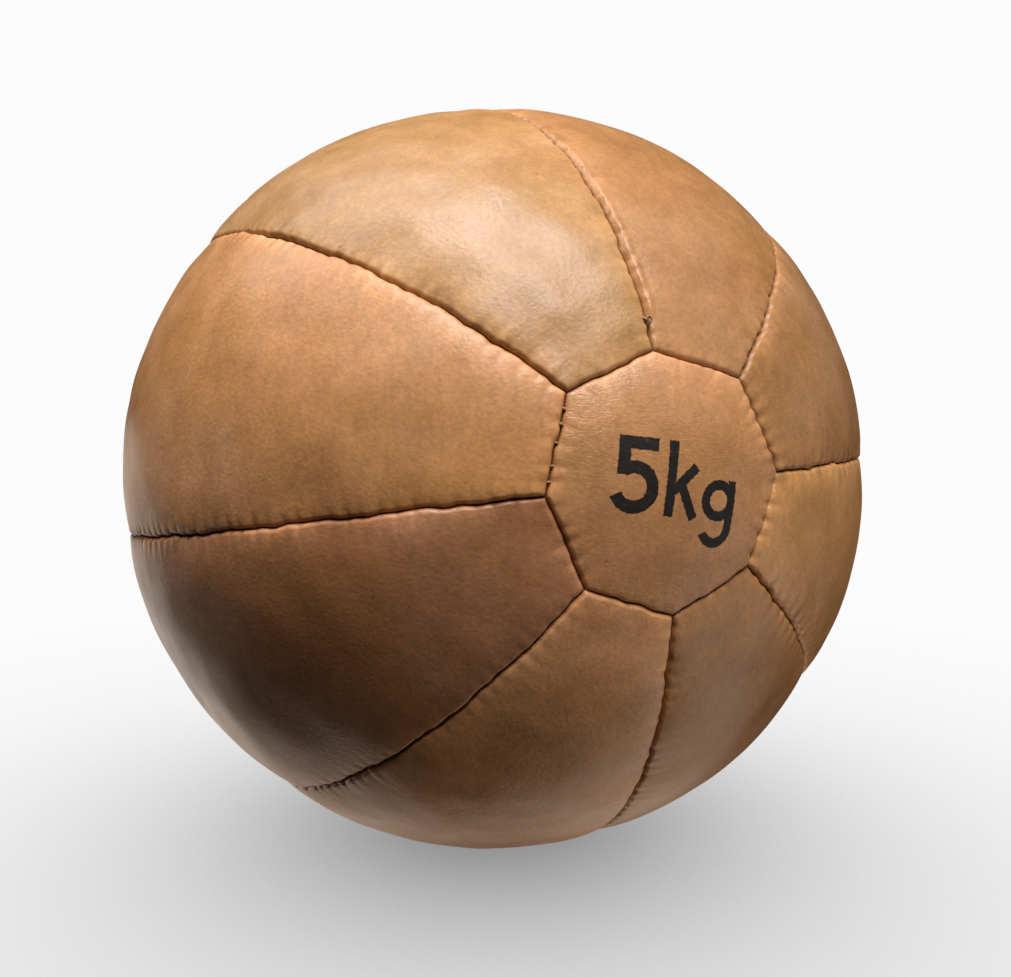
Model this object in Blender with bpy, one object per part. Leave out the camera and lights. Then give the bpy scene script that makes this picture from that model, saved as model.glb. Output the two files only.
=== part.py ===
"""A leather medicine ball, sewn from eight gores and two octagonal caps over a lined, fibre-packed core.

The ball's centre is the origin and +Z is up. The line from cap to cap is Y, with the marked cap at -Y.
Places on the ball are given as a polar angle from the marked cap's centre, and a longitude from straight up,
clockwise as seen facing the marked cap.
"""

import math

import bmesh
import bpy
from mathutils import Vector

# Driving dimensions, in metres and degrees
BALL_RADIUS = 0.140
GORES = 8
FIRST_SEAM = -4.9  # longitude of the closing seam, the first one, where it leaves the caps
SEAM_BOW = (-3, 0, 1, -2, -3, -1, -3, -3)  # how far each seam has wandered by the ball's widest ring
MARKED_CAP_CORNERS = (15, 16, 15.5, 15, 15, 15, 14.5, 15.5)  # hand-cut, so not quite even
PLAIN_CAP_CORNER = 15.2

LEATHER = 0.0025
FOLD_RADIUS = 0.0040  # of the edge that is turned in at a seam
SEAM_DEPTH = 0.0065  # from the ball's surface to the turned-in edge
SEAM_GAP = 0.0005
LINING = 0.0008
LINING_DROP = 0.0007  # from the leather's inner face to the lining
LINING_MARGIN = 0.0050  # from a seam's middle to the lining's edge

THREAD_RADIUS = 0.0005
THREAD_DEPTH = 0.0016  # from the ball's surface to the thread's middle
THREAD_END = 0.0022  # from a cap's corner to the end of a gore seam's thread
KNOT_RADIUS = 0.0012
KNOT_DEPTH = 0.0005
KNOT_POLAR = 18.5

WRAP_THICKNESS = 0.0080
WRAP_CLEARANCE = 0.0010
WRAP_GAP = 0.0005  # between the wrap's two halves
REST_FLAT_DEPTH = 0.0016  # how far the ball has settled on its lowest gore
REST_GORE = 5

GORE_ROWS = 20
GORE_COLUMNS = 5
LINING_ROWS = 14
LINING_COLUMNS = 3
CAP_RINGS = 3
FOLD_SEGMENTS = 2
THREAD_STEPS = 16
TURNED_STEPS = 24
TURNED_ROWS = 12

# A cap's side of the ball: 1 at the marked cap, -1 at the plain one
MARKED = 1
PLAIN = -1

LEATHER_COLOUR = (0.42, 0.225, 0.105)
CANVAS_COLOUR = (0.62, 0.55, 0.42)
THREAD_COLOUR = (0.34, 0.20, 0.10)
FELT_COLOUR = (0.36, 0.33, 0.29)
FIBRE_COLOUR = (0.50, 0.44, 0.34)


def clear_scene():
    for item in list(bpy.data.objects):
        bpy.data.objects.remove(item, do_unlink=True)


def make_material(name, colour, roughness):
    material = bpy.data.materials.new(name)
    material.use_nodes = True
    shader = material.node_tree.nodes["Principled BSDF"]
    shader.inputs["Base Color"].default_value = (*colour, 1.0)
    shader.inputs["Roughness"].default_value = roughness
    shader.inputs["Metallic"].default_value = 0.0
    material.diffuse_color = (*colour, 1.0)
    return material


def add_object(name, data, material):
    data.materials.append(material)
    item = bpy.data.objects.new(name, data)
    bpy.context.scene.collection.objects.link(item)
    return item


def add_mesh_object(name, bm, material):
    """The object of a bmesh, smooth where its faces meet gently."""
    mesh = bpy.data.meshes.new(name)
    bm.to_mesh(mesh)
    bm.free()
    mesh.shade_smooth()
    mesh.set_sharp_from_angle(angle=math.radians(40))
    return add_object(name, mesh, material)


def between(start, end, share):
    return start + (end - start) * share


def direction(polar, longitude):
    """The unit vector from the ball's centre to a place on it."""
    return Vector(
        (
            math.sin(polar) * math.sin(longitude),
            -math.cos(polar),
            math.sin(polar) * math.cos(longitude),
        )
    )


# The seams


def corner_polar(seam, side):
    """Polar angle of the cap corner that a seam runs to."""
    if side == MARKED:
        return math.radians(MARKED_CAP_CORNERS[seam % GORES])
    return math.pi - math.radians(PLAIN_CAP_CORNER)


def seam_longitude(seam, polar):
    start = corner_polar(seam, MARKED)
    end = corner_polar(seam, PLAIN)
    bow = SEAM_BOW[seam % GORES] * math.sin(math.pi * (polar - start) / (end - start))
    return math.radians(FIRST_SEAM + seam * 360 / GORES + bow)


def beside_seam(seam, polar, inset):
    """Longitude of the line that runs along a seam, inset metres clockwise of it."""
    return seam_longitude(seam, polar) + math.asin(inset / (BALL_RADIUS * math.sin(polar)))


def cap_edge_polar(gore, longitude, inset, side):
    """Polar angle of the straight seam between a gore and a cap, moved inset metres onto the gore."""
    corners = []
    for seam in (gore, gore + 1):
        polar = corner_polar(seam, side)
        corners.append(direction(polar, seam_longitude(seam, polar)))
    across = side * corners[0].cross(corners[1]).normalized()
    along_axis = -across.y
    outward = across.x * math.sin(longitude) + across.z * math.cos(longitude)
    turn = math.acos(inset / BALL_RADIUS / math.hypot(along_axis, outward))
    return math.atan2(outward, along_axis) - side * turn


# The panels


def gore_direction(gore, u, v, inset):
    """A place on a gore: u runs from its first seam to its second, v from the marked cap to the plain one."""
    ends = []
    for side in (MARKED, PLAIN):
        corner = corner_polar(gore, side)
        first = beside_seam(gore, corner, inset)
        second = beside_seam(gore + 1, corner, -inset)
        ends.append(cap_edge_polar(gore, between(first, second, u), inset, side))
    polar = between(ends[0], ends[1], v)
    first = beside_seam(gore, polar, inset)
    second = beside_seam(gore + 1, polar, -inset)
    return direction(polar, between(first, second, u))


def gore_sheet(gore, rows, columns, radius, inset):
    bm = bmesh.new()
    bmesh.ops.create_grid(bm, x_segments=columns, y_segments=rows, size=0.5)
    for vert in bm.verts:
        vert.co = radius * gore_direction(gore, vert.co.x + 0.5, vert.co.y + 0.5, inset)
    return bm


def cap_sheet(side, radius, inset):
    """An octagon with its corners on the seams: a straight line spun into a disc, then laid on the ball."""
    bm = bmesh.new()
    line = [bm.verts.new((ring / CAP_RINGS, 0, 0)) for ring in range(CAP_RINGS + 1)]
    edges = [bm.edges.new(pair) for pair in zip(line, line[1:])]
    bmesh.ops.spin(
        bm,
        geom=line + edges,
        cent=(0, 0, 0),
        axis=(0, 0, 1),
        angle=math.tau,
        steps=2 * GORES,
        use_merge=True,
    )
    bmesh.ops.remove_doubles(bm, verts=bm.verts, dist=1e-5)
    centre = 0.0 if side == MARKED else math.pi
    for vert in bm.verts:
        reach = vert.co.length
        turn = math.atan2(vert.co.y, vert.co.x) % math.tau
        longitude = math.radians(FIRST_SEAM) + turn
        sector = turn * GORES / math.tau
        edge_polars = [
            cap_edge_polar(math.floor(sector + step), longitude, -inset, side)
            for step in (-0.01, 0.01)
        ]
        edge_polar = min(edge_polars) if side == MARKED else max(edge_polars)
        vert.co = radius * direction(between(centre, edge_polar, reach), longitude)
    return bm


def turn_edges_in(bm):
    """Turns a sheet's edges down into the seam, over a rounded fold."""
    folds = [edge for edge in bm.edges if edge.is_boundary]
    made = bmesh.ops.extrude_edge_only(bm, edges=folds)["geom"]
    for vert in made:
        if isinstance(vert, bmesh.types.BMVert):
            vert.co *= 1 - SEAM_DEPTH / BALL_RADIUS
    bmesh.ops.bevel(
        bm,
        geom=folds,
        offset=FOLD_RADIUS,
        segments=FOLD_SEGMENTS,
        profile=0.5,
        affect="EDGES",
    )


def face_outwards(bm):
    bmesh.ops.recalc_face_normals(bm, faces=bm.faces)
    facing = sum(face.normal.dot(face.calc_center_median()) for face in bm.faces)
    if facing < 0:
        bmesh.ops.reverse_faces(bm, faces=bm.faces)


def add_panel(name, bm, thickness, material):
    """A sheet given its thickness inwards."""
    face_outwards(bm)
    item = add_mesh_object(name, bm, material)
    solidify = item.modifiers.new("thickness", "SOLIDIFY")
    solidify.thickness = thickness
    solidify.offset = -1
    solidify.use_even_offset = True
    solidify.use_quality_normals = True
    return item


def add_leather_panels(material):
    inset = SEAM_GAP / 2
    for gore in range(GORES):
        bm = gore_sheet(gore, GORE_ROWS, GORE_COLUMNS, BALL_RADIUS, inset)
        turn_edges_in(bm)
        add_panel(f"gore_{gore + 1}", bm, LEATHER, material)
    for name, side in (("cap_front", MARKED), ("cap_back", PLAIN)):
        bm = cap_sheet(side, BALL_RADIUS, inset)
        turn_edges_in(bm)
        add_panel(name, bm, LEATHER, material)


def add_linings(material):
    radius = BALL_RADIUS - LEATHER - LINING_DROP
    for gore in range(GORES):
        bm = gore_sheet(gore, LINING_ROWS, LINING_COLUMNS, radius, LINING_MARGIN)
        add_panel(f"lining_gore_{gore + 1}", bm, LINING, material)
    for name, side in (("lining_cap_front", MARKED), ("lining_cap_back", PLAIN)):
        add_panel(name, cap_sheet(side, radius, LINING_MARGIN), LINING, material)


def cut_rest_flat(gore):
    """The flat that the ball settles on, as a slab cut from its lowest gore."""
    bm = bmesh.new()
    bmesh.ops.create_cube(bm, size=BALL_RADIUS)
    mesh = bpy.data.meshes.new("floor_slab")
    bm.to_mesh(mesh)
    bm.free()
    slab = bpy.data.objects.new("floor_slab", mesh)
    slab.location.z = REST_FLAT_DEPTH - 1.5 * BALL_RADIUS
    slab.hide_render = True
    slab.display_type = "WIRE"
    bpy.context.scene.collection.objects.link(slab)
    cut = gore.modifiers.new("rest_flat", "BOOLEAN")
    cut.operation = "DIFFERENCE"
    cut.solver = "EXACT"
    cut.object = slab


# The threads


def add_cord(name, points, closed, material):
    curve = bpy.data.curves.new(name, "CURVE")
    curve.dimensions = "3D"
    spline = curve.splines.new("POLY")
    spline.points.add(len(points) - 1)
    for place, point in zip(spline.points, points):
        place.co = (*point, 1.0)
    spline.use_cyclic_u = closed
    curve.bevel_depth = THREAD_RADIUS
    curve.bevel_resolution = 2
    curve.use_fill_caps = True
    add_object(name, curve, material)


def add_seam_threads(material):
    """One thread along each seam between gores. The closing seam's starts at its knot."""
    radius = BALL_RADIUS - THREAD_DEPTH
    for seam in range(GORES):
        start = corner_polar(seam, MARKED) + THREAD_END / BALL_RADIUS
        if seam == 0:
            start = math.radians(KNOT_POLAR) + 2 * KNOT_RADIUS / BALL_RADIUS
        end = corner_polar(seam, PLAIN) - THREAD_END / BALL_RADIUS
        polars = [between(start, end, step / THREAD_STEPS) for step in range(THREAD_STEPS + 1)]
        points = [radius * direction(polar, seam_longitude(seam, polar)) for polar in polars]
        add_cord(f"seam_thread_{seam + 1}", points, False, material)


def add_cap_threads(material):
    """One thread around each cap, with two lengths to a side."""
    radius = BALL_RADIUS - THREAD_DEPTH
    for name, side in (("cap_thread_front", MARKED), ("cap_thread_back", PLAIN)):
        points = []
        for gore in range(GORES):
            corner = corner_polar(gore, side)
            longitude = math.radians(FIRST_SEAM + gore * 360 / GORES)
            points.append(radius * direction(corner, longitude))
            longitude += math.pi / GORES
            middle = cap_edge_polar(gore, longitude, 0.0, side)
            points.append(radius * direction(middle, longitude))
        add_cord(name, points, True, material)


def add_knot(material):
    polar = math.radians(KNOT_POLAR)
    bm = bmesh.new()
    bmesh.ops.create_icosphere(bm, subdivisions=2, radius=KNOT_RADIUS)
    place = (BALL_RADIUS - KNOT_DEPTH) * direction(polar, seam_longitude(0, polar))
    bmesh.ops.translate(bm, verts=bm.verts, vec=place)
    add_mesh_object("closing_knot", bm, material)


# The packing


def add_turned(name, profile, material):
    """The solid of a profile, a list of (distance from the Y axis, y), turned about Y."""
    bm = bmesh.new()
    line = [bm.verts.new((across, along, 0)) for across, along in profile]
    edges = [bm.edges.new(pair) for pair in zip(line, line[1:])]
    bmesh.ops.spin(
        bm,
        geom=line + edges,
        cent=(0, 0, 0),
        axis=(0, 1, 0),
        angle=math.tau,
        steps=TURNED_STEPS,
        use_merge=True,
    )
    bmesh.ops.remove_doubles(bm, verts=bm.verts, dist=1e-5)
    bmesh.ops.recalc_face_normals(bm, faces=bm.faces)
    return add_mesh_object(name, bm, material)


def arc(radius, start, end, steps):
    """Points of an arc about the centre, by polar angle from -Y."""
    angles = [between(start, end, step / steps) for step in range(steps + 1)]
    return [(radius * math.sin(angle), -radius * math.cos(angle)) for angle in angles]


def add_packing(felt, fibre):
    """Two felt cups around a ball of packed fibre."""
    outer = BALL_RADIUS - SEAM_DEPTH - WRAP_CLEARANCE
    inner = outer - WRAP_THICKNESS
    rows = TURNED_ROWS // 2
    for name, side in (("wrap_front", MARKED), ("wrap_back", PLAIN)):
        pole = 0.0 if side == MARKED else math.pi
        profile = arc(outer, pole, math.pi / 2, rows)
        profile += arc(inner, math.pi / 2, pole, rows)
        half = add_turned(name, profile, felt)
        half.location.y = -side * WRAP_GAP / 2
    core_radius = inner - WRAP_CLEARANCE
    add_turned("fibre_core", arc(core_radius, 0.0, math.pi, TURNED_ROWS), fibre)


def main():
    clear_scene()
    leather = make_material("leather", LEATHER_COLOUR, 0.42)
    canvas = make_material("canvas", CANVAS_COLOUR, 0.9)
    thread = make_material("thread", THREAD_COLOUR, 0.55)
    felt = make_material("felt", FELT_COLOUR, 0.95)
    fibre = make_material("fibre", FIBRE_COLOUR, 0.95)
    add_leather_panels(leather)
    cut_rest_flat(bpy.data.objects[f"gore_{REST_GORE}"])
    add_linings(canvas)
    add_seam_threads(thread)
    add_cap_threads(thread)
    add_knot(thread)
    add_packing(felt, fibre)


main()
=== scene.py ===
import math
from dataclasses import dataclass
from functools import partial

import bpy
import numpy as np
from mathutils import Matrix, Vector


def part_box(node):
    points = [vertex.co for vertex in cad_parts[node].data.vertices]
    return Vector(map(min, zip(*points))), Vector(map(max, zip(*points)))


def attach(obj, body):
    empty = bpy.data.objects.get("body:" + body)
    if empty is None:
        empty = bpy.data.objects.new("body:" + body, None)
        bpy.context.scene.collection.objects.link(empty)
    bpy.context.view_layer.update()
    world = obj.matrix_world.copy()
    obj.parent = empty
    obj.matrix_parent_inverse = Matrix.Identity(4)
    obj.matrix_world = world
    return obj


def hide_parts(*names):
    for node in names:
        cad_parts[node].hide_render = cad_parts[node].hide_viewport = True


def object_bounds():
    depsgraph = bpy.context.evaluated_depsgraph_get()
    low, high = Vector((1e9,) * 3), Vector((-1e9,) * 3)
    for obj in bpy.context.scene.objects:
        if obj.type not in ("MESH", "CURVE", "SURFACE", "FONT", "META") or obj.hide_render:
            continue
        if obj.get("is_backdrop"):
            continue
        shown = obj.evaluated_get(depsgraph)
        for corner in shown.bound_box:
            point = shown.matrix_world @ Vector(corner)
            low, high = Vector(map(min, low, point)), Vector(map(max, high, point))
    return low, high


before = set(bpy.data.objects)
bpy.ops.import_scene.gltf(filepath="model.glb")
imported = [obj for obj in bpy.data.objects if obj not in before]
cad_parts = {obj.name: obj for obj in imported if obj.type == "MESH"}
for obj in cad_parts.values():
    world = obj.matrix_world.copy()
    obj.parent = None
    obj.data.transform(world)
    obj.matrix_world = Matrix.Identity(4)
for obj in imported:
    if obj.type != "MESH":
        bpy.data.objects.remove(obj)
CAD_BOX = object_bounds()

# The looks of a leather medicine ball: eight gores and two octagonal caps, sewn edge to edge over
# canvas linings, two felt cups and a core of packed fibre. The ball's centre is the origin, +Z is up,
# and the marked cap is at -Y. Places on the ball are given as in the CAD: a polar angle from the marked
# cap's centre, and a longitude from straight up, clockwise as seen facing the marked cap. Lengths are
# in metres.

MM = 0.001

# The ball, as the CAD has it
BALL_RADIUS = 140 * MM
GORES = 8
FIRST_SEAM = math.radians(-4.9)
SEAM_BOW = np.radians((-3, 0, 1, -2, -3, -1, -3, -3))
MARKED_CAP_CORNERS = np.radians((15, 16, 15.5, 15, 15, 15, 14.5, 15.5))
PLAIN_CAP_CORNER = math.radians(15.2)
LEATHER = 2.5 * MM
SKIVED = 1.25 * MM  # the leather's thickness where its edge is pared to be turned in
SEAM_DEPTH = 6.5 * MM
LINING = 0.8 * MM
LINING_DROP = 0.7 * MM
LINING_MARGIN = 5 * MM
KNOT_POLAR = math.radians(18.5)
WRAP_THICKNESS = 8 * MM
CLEARANCE = 1 * MM
WRAP_GAP = 0.5 * MM
# The height that the ball rests at
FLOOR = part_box("gore_5")[0].z
# The two caps, by which way they look along -Y
MARKED = 1
PLAIN = -1

# The fold at a panel's edge
HALF_GAP = 0.06 * MM  # from a seam's middle to the turned-in leather
FOLD_RADIUS = 1.45 * MM
FOLD_STEPS = 9
FLESH_FOLD_STEPS = 3
EDGE_BAND = 9 * MM  # how wide the rings are that follow a panel's edge
EDGE_RINGS = np.array((7.8, 6.7, 5.7, 4.9, 4.2, 3.6, 3.0)) * MM
FLANGE_FOOT = 6.3 * MM  # the turned-in edge's depth
FLANGE_HOLD = 0.8  # how much the foot of that edge is held back from the sheet's form
FALL = 1.3 * MM  # how far under the ball's face a panel lies at its seams
FALL_REACH = 7 * MM
# how far from a seam's middle the painted shade in its groove reaches
GROOVE_SHADE_WIDTH = 0.6 * MM
WEAR_AND_HIGHLIGHT_REACH = 6 * MM  # how wide the paler bands beside the seams are, part wear and part painted highlight

# The stitches
STITCH = 4.9 * MM
STITCH_STRAY = 0.14  # of a stitch, along the seam
GORE_SEAM_MARGIN = 1.5 * MM  # from a seam's ends to where its stitches start
CAP_SEAM_MARGIN = 0.8 * MM
THREAD_RADIUS = 0.38 * MM
STITCH_DEPTH = 2.3 * MM
OPEN_STITCH_DEPTH = 0.3 * MM  # where a seam gapes and its thread shows
STITCH_PULL = 0.45 * MM  # how far a stitch draws the leather down
STITCH_PULLS = (0.5, 1.4)  # the least and greatest share of that
PULL_WIDTH = 1.1 * MM
PULL_REACH = 2.4 * MM
OPEN_SIDE = 6  # the marked cap's side that gapes
OPEN_GAPE = 0.06 * MM  # how far each of its edges stands off between the stitches
SLIGHT_GAPE = 0.04 * MM  # the same at the other seams
GAPE_REACH = 6 * MM
BEHIND_AWAY = 3.2 * MM  # where the thread runs behind a turned-in edge
BEHIND_DEPTH = 5.2 * MM
THREAD_STEPS = 4  # to each of the thread's points
PLY_SWELL = 0.15

# The puckers that run off from the stitches
PUCKER_DEPTHS = (0.02 * MM, 0.16 * MM)
PUCKER_REACHES = (1.8 * MM, 4.5 * MM)
PUCKER_WIDTHS = (0.9 * MM, 1.4 * MM)
PUCKER_LEAN = 0.5  # sideways, to each metre away from the seam
PUCKER_LIMIT = 14 * MM  # nothing is added farther than this from a seam
STITCH_LIMIT = 8 * MM  # nor farther than this along it from a stitch
DEEP_PUCKERS = 0.22  # the share of them that are deeper and longer
DEEPER = 1.6
LONGER = 1.5

# The seams' waver
WAVER_LENGTHS = np.array((9.8, 7.1, 12.5, 29)) * MM
WAVER_HEIGHTS = np.array((0.13, 0.09, 0.11, 0.26)) * MM
WAVER_REACH = 5 * MM
WAVER_EASE = 7 * MM  # the waver dies out over this length at a seam's ends

# The rolled ridge beside the closing seam
RIDGE_START = 11 * MM
RIDGE_FADE = (62 * MM, 108 * MM)
RIDGE_AWAY = 1.9 * MM
RIDGE_WIDTH = 0.95 * MM
RIDGE_HEIGHT = 0.85 * MM
PINCH_SPACING = 8 * MM
PINCH_WIDTH = 1.3 * MM
PINCH_STRENGTH = 0.65

# The unevenness of the leather and the packing, by the length of its waves
BROAD_WAVES = 55 * MM
SMALL_WAVES = 19 * MM
LUMP_WAVES = 15 * MM
FUZZ_WAVES = 5 * MM
WRAP_LUMPS = 0.15 * MM  # how high the packing's lumps are
WRAP_LINING_LUMPS = 0.05 * MM
WRAP_INSET = 0.3 * MM  # how far under the CAD's faces the packing's lie, so that the lumps clear them
CORE_LUMPS = 0.35 * MM
CORE_INSET = 0.5 * MM

# The meshes
GORE_ROWS = 640
GORE_COLUMNS = 34
CAP_SEGMENTS = 46  # to each of a cap's sides
CAP_RINGS = 26
LINING_ROWS = 160
LINING_COLUMNS = 48
LINING_RINGS = 24
LINING_TURNS = 160
WRAP_RINGS = 90
CORE_RINGS = 180
PACKING_TURNS = 240

# The simulation of the packing's push
CLOTH_ROWS = 110
CLOTH_COLUMNS = 32
CLOTH_RINGS = 14
CLOTH_SEGMENTS = 10  # to each of a cap's sides
CLOTH_HUB = 0.02  # the reach of a cap sheet's innermost ring
CLOTH_INSET = 0.001 * MM
CLOTH_START = FALL  # how much smaller than the ball the sheets start
CLOTH_STIFFNESS = 5.0
CLOTH_SHEAR_STIFFNESS = CLOTH_STIFFNESS / 3
CLOTH_BENDING_STIFFNESS = CLOTH_STIFFNESS / 100
CLOTH_QUALITY = 6  # the solver's steps to a frame
CLOTH_MASS = 0.0005  # of each vertex
CLOTH_PRESSURE = 360.0
CLOTH_FRAMES = 8

# The knot that ends the closing seam
KNOT_SIZE = 0.36 * MM
KNOT_DEPTH = 0.9 * MM
KNOT_THREAD = 0.3 * MM  # its radius, and that of the cut ends
TAIL_THREAD = 0.28 * MM
TAIL_REACH = (1.1 * MM, 0.4 * MM)  # along the seam and across it
TAIL_DROP = 0.25 * MM

RANDOM_SEED = 31


def between(start, end, share):
    return start + (end - start) * share


def smooth_step(value, low, high):
    share = np.clip((value - low) / (high - low), 0, 1)
    return share * share * (3 - 2 * share)


def directions(polar, longitude):
    """Unit vectors from the ball's centre to places on it."""
    return np.stack(
        (
            np.sin(polar) * np.sin(longitude),
            -np.cos(polar) * np.ones_like(longitude),
            np.sin(polar) * np.cos(longitude),
        ),
        axis=-1,
    )


# Where the seams run


def corner_polar(seam, side):
    """Polar angle of the cap corner that a seam runs to."""
    if side == MARKED:
        return MARKED_CAP_CORNERS[seam % GORES]
    return math.pi - PLAIN_CAP_CORNER


def seam_longitude(seam, polar):
    start = corner_polar(seam, MARKED)
    end = corner_polar(seam, PLAIN)
    bow = SEAM_BOW[seam % GORES] * np.sin(math.pi * (polar - start) / (end - start))
    return FIRST_SEAM + seam * math.tau / GORES + bow


def beside_seam(seam, polar, inset):
    """Longitude of the line that runs along a seam, inset metres clockwise of it."""
    return seam_longitude(seam, polar) + np.arcsin(inset / (BALL_RADIUS * np.sin(polar)))


def cap_corners(gore, side):
    """Unit vectors to the two corners where a gore meets a cap."""
    corners = []
    for seam in (gore, gore + 1):
        polar = corner_polar(seam, side)
        corners.append(directions(polar, seam_longitude(seam, polar)))
    return corners


def cap_side_normal(gore, side):
    """The unit normal of the plane through a cap's side, pointing onto the gore."""
    corners = cap_corners(gore, side)
    across = side * np.cross(corners[0], corners[1])
    return across / np.linalg.norm(across)


def cap_edge_polar(gore, longitude, inset, side):
    """Polar angle of the straight seam between a gore and a cap, moved inset metres onto the gore."""
    across = cap_side_normal(gore, side)
    along_axis = -across[1]
    outward = across[0] * np.sin(longitude) + across[2] * np.cos(longitude)
    turn = np.arccos(inset / BALL_RADIUS / np.hypot(along_axis, outward))
    return np.arctan2(outward, along_axis) - side * turn


def gore_place(gore, u, v, inset):
    """A place on a gore: u runs from its first seam to its second, v from the marked cap on."""
    ends = []
    for side in (MARKED, PLAIN):
        corner = corner_polar(gore, side)
        first = beside_seam(gore, corner, inset)
        second = beside_seam(gore + 1, corner, -inset)
        ends.append(cap_edge_polar(gore, between(first, second, u), inset, side))
    polar = between(ends[0], ends[1], v)
    first = beside_seam(gore, polar, inset)
    second = beside_seam(gore + 1, polar, -inset)
    return polar, between(first, second, u)


def gore_shares(gore, polar, longitude):
    """The u and v of a place on a gore, measured between its seams' middles."""
    first = seam_longitude(gore, polar)
    second = seam_longitude(gore + 1, polar)
    start = cap_edge_polar(gore, longitude, 0.0, MARKED)
    end = cap_edge_polar(gore, longitude, 0.0, PLAIN)
    return (longitude - first) / (second - first), (polar - start) / (end - start)


def cap_edge(side, turn, inset):
    """Polar angle of a cap's edge at a turn from its first corner, moved inset metres onto the cap."""
    nearer = np.minimum if side == MARKED else np.maximum
    edge = None
    for gore in range(GORES):
        middle = (gore + 0.5) * math.tau / GORES
        away = np.abs((turn - middle + math.pi) % math.tau - math.pi)
        polar = cap_edge_polar(gore, FIRST_SEAM + turn, -inset, side)
        polar = np.where(away < math.tau / GORES, polar, side * math.tau)
        edge = polar if edge is None else nearer(edge, polar)
    return edge


def cap_place(side, reach, turn, inset):
    """A place on a cap: reach runs from its centre to its edge."""
    centre = 0.0 if side == MARKED else math.pi
    return between(centre, cap_edge(side, turn, inset), reach), FIRST_SEAM + turn


# The seams' stitches


@dataclass
class Seam:
    length: float
    stitches: np.ndarray  # where they are along it
    pulls: np.ndarray  # how hard each is drawn, about 1
    gape: float  # how far each edge stands off between the stitches
    phases: np.ndarray  # of its waver

    def waver(self, along):
        """How far the seam strays sideways: clockwise, or from the cap onto the gore."""
        turns = along[:, None] * math.tau / WAVER_LENGTHS + self.phases
        ends = np.minimum(along, self.length - along)
        return (WAVER_HEIGHTS * np.sin(turns)).sum(axis=1) * smooth_step(ends, 0, WAVER_EASE)


def make_seam(rng, length, gape, margin):
    count = round((length - 2 * margin) / STITCH)
    pitch = (length - 2 * margin) / count
    strays = rng.uniform(-STITCH_STRAY, STITCH_STRAY, count)
    stitches = margin + pitch * (np.arange(count) + 0.5 + strays)
    phases = rng.uniform(0, math.tau, len(WAVER_LENGTHS))
    return Seam(length, stitches, rng.uniform(*STITCH_PULLS, count), gape, phases)


def make_gore_seams(rng):
    seams = []
    for seam in range(GORES):
        length = BALL_RADIUS * (corner_polar(seam, PLAIN) - corner_polar(seam, MARKED))
        seams.append(make_seam(rng, length, SLIGHT_GAPE, GORE_SEAM_MARGIN))
    return seams


def make_cap_seams(rng):
    seams = {}
    for side in (MARKED, PLAIN):
        for gore in range(GORES):
            corners = cap_corners(gore, side)
            length = BALL_RADIUS * math.acos(corners[0] @ corners[1])
            gape = OPEN_GAPE if (side, gore) == (MARKED, OPEN_SIDE) else SLIGHT_GAPE
            seams[side, gore] = make_seam(rng, length, gape, CAP_SEAM_MARGIN)
    return seams


seam_rng = np.random.default_rng(RANDOM_SEED)
GORE_SEAMS = make_gore_seams(seam_rng)
CAP_SEAMS = make_cap_seams(seam_rng)


def gore_edges(gore, polar, longitude):
    """For each of a gore's four edges: its seam, how far places lie from it, and how far along it."""
    across = BALL_RADIUS * np.sin(polar)
    edges = []
    for seam, sign in ((gore, 1), (gore + 1, -1)):
        away = sign * across * np.sin(longitude - seam_longitude(seam, polar))
        along = BALL_RADIUS * (polar - corner_polar(seam, MARKED))
        edges.append((GORE_SEAMS[seam % GORES], away, along))
    places = directions(polar, longitude)
    share = (longitude - FIRST_SEAM) * GORES / math.tau - gore
    for side in (MARKED, PLAIN):
        seam = CAP_SEAMS[side, gore]
        away = BALL_RADIUS * np.arcsin(places @ cap_side_normal(gore, side))
        edges.append((seam, away, share * seam.length))
    return edges


def gore_pushes(gore, longitude):
    """The way that each of a gore's edges strays."""
    clockwise = np.stack((np.cos(longitude), np.zeros(len(longitude)), -np.sin(longitude)), axis=1)
    return [clockwise, clockwise, cap_side_normal(gore, MARKED), cap_side_normal(gore, PLAIN)]


def cap_edges(side, polar, longitude):
    """The same for a cap's eight edges."""
    places = directions(polar, longitude)
    sector = (longitude - FIRST_SEAM) * GORES / math.tau
    edges = []
    for gore in range(GORES):
        seam = CAP_SEAMS[side, gore]
        away = -BALL_RADIUS * np.arcsin(places @ cap_side_normal(gore, side))
        share = (sector - gore - 0.5 + GORES / 2) % GORES - GORES / 2 + 0.5
        edges.append((seam, away, share * seam.length))
    return edges


# The leather's relief


def ripples(rng, wavelength, spread=0.3, waves=40):
    """A smooth random field of about unit height: waves of about one length, running every way."""
    axes = rng.normal(size=(waves, 3))
    axes /= np.linalg.norm(axes, axis=1)[:, None]
    lengths = wavelength * np.exp(rng.normal(0, spread, waves))
    phases = rng.uniform(0, math.tau, waves)

    def height(points):
        turns = points @ (axes * math.tau / lengths[:, None]).T + phases
        return np.sin(turns).sum(axis=1) * math.sqrt(2 / waves)

    return height


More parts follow.
